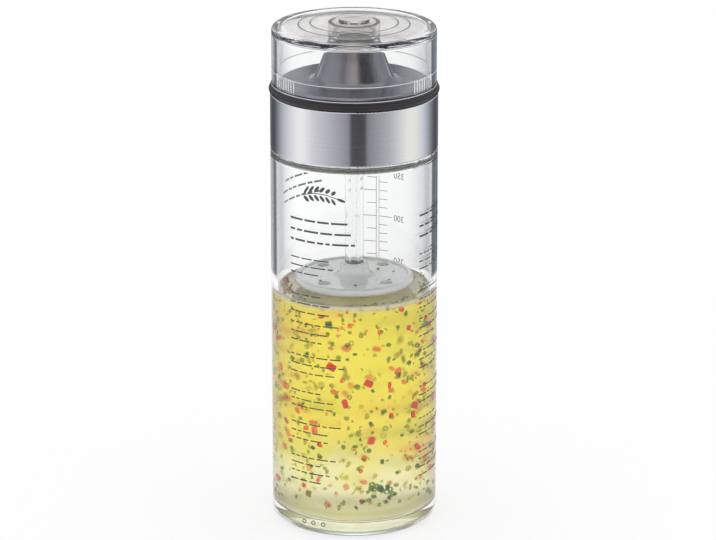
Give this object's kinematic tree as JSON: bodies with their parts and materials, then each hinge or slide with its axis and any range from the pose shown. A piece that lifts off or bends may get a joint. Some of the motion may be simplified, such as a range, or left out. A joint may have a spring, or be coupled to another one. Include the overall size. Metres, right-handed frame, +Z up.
{
  "type": "dressing shaker bottle",
  "caption": "Straight glass bottle with a screw-on steel pouring head, a hanging mixing rod with a perforated disc, and a clear lid that plugs the spout.",
  "frame": {"origin": "middle of the base, on the surface that the bottle stands on", "axes": "+Z up along the bottle's axis; the printed scale is at the back, towards +Y, and the view in the picture is from -Y"},
  "size_m": [0.0661, 0.066, 0.2023],
  "materials": {
    "bottle_glass": "clear blown and pressed glass, glossy",
    "silicone": "translucent pale silicone rubber",
    "collar_plastic": "moulded dark polypropylene",
    "brushed_steel": "stainless steel brushed round its axis",
    "dark_silicone": "near-black silicone rubber, satin",
    "white_plastic": "moulded white polypropylene",
    "rod_plastic": "translucent moulded plastic, glossy",
    "disc_plastic": "milky moulded plastic, glossy",
    "clear_plastic": "clear injection-moulded plastic, polished",
    "plug_plastic": "translucent moulded plastic"
  },
  "bodies": {
    "bottle": {"glass_bottle": "bottle_glass"},
    "gasket": {"neck_gasket": "silicone"},
    "head": {"threaded_collar": "collar_plastic", "steel_band": "brushed_steel", "dark_ring": "dark_silicone", "spout_cover": "brushed_steel", "spout_liner": "white_plastic", "rod_holder": "white_plastic"},
    "mixer": {"mixing_rod": "rod_plastic", "mixing_disc": "disc_plastic", "disc_cap": "disc_plastic"},
    "lid": {"clear_lid": "clear_plastic", "lid_plug": "plug_plastic", "plug_seal": "silicone"}
  },
  "joints": [
    {"name": "head_rise", "type": "slide", "parent": "bottle", "child": "gasket", "axis": [0, 0, 1], "range_m": [0, 0.003]},
    {"name": "head_turn", "type": "hinge", "parent": "gasket", "child": "head", "pos_m": [0, 0, 0.1692], "axis": [0, 0, 1], "range_deg": [0, 90]},
    {"name": "lid_lift", "type": "slide", "parent": "head", "child": "lid", "axis": [0, 0, 1], "range_m": [0, 0.03]},
    {"name": "mixer_pull", "type": "slide", "parent": "head", "child": "mixer", "axis": [0, 0, -1], "range_m": [0, 0.012]}
  ],
  "couplings": [
    {"joint": "head_rise", "follows": "head_turn", "m_per_rad": 0.0019098}
  ]
}
